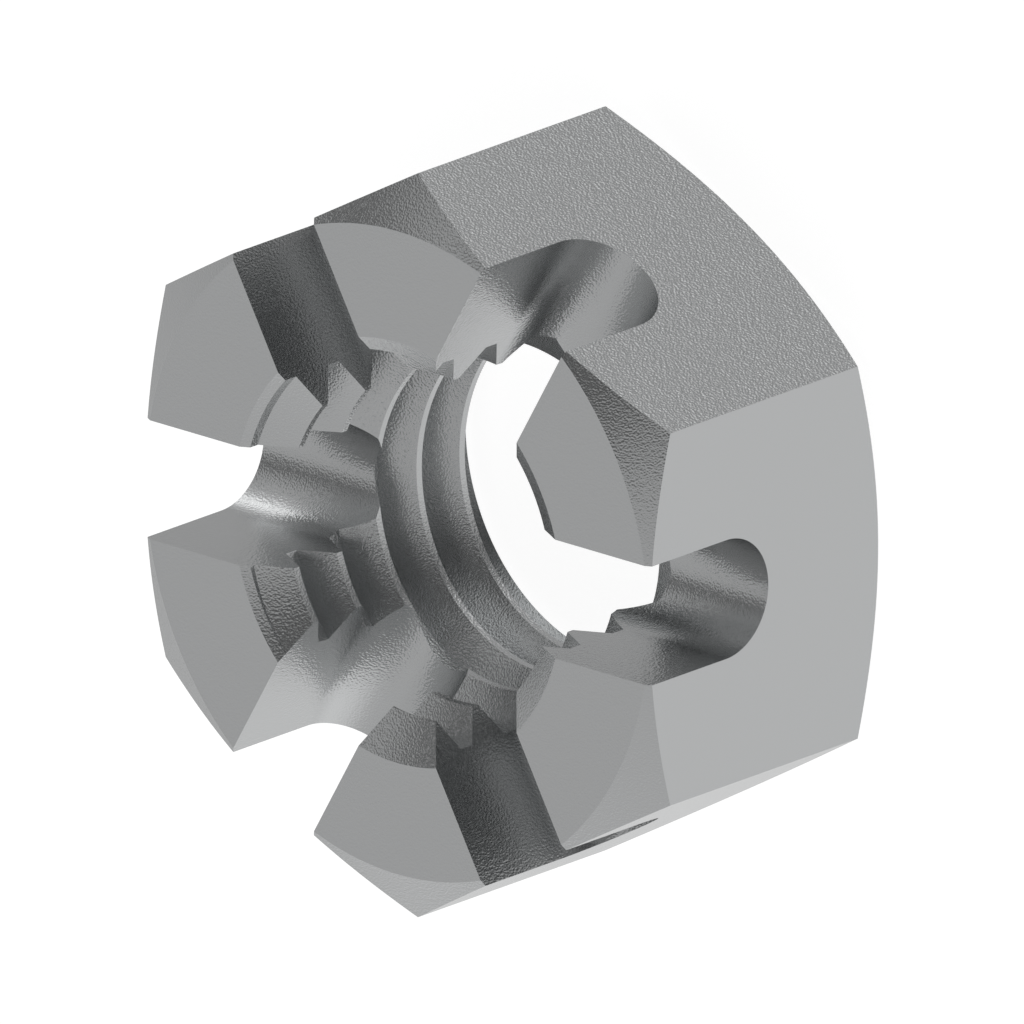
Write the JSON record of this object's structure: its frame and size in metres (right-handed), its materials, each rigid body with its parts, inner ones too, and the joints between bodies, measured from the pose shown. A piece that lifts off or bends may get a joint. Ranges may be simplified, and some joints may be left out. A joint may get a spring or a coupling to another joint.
{
  "type": "castle nut",
  "caption": "Low hexagon castle nut with a threaded bore and round-bottomed slots through its crown for a split pin.",
  "frame": {"origin": "centre of the bearing face, on the axis of the bore", "axes": "+Z along the bore, towards the slotted crown; +X out through the middle of a flat and of its slot; +Y out through a corner of the hexagon"},
  "size_m": [0.016, 0.0184, 0.008],
  "materials": {
    "steel": "plain grey steel, turned and milled, with a very fine matt grain"
  },
  "bodies": {
    "root": {"castle_nut": "steel"}
  },
  "joints": []
}
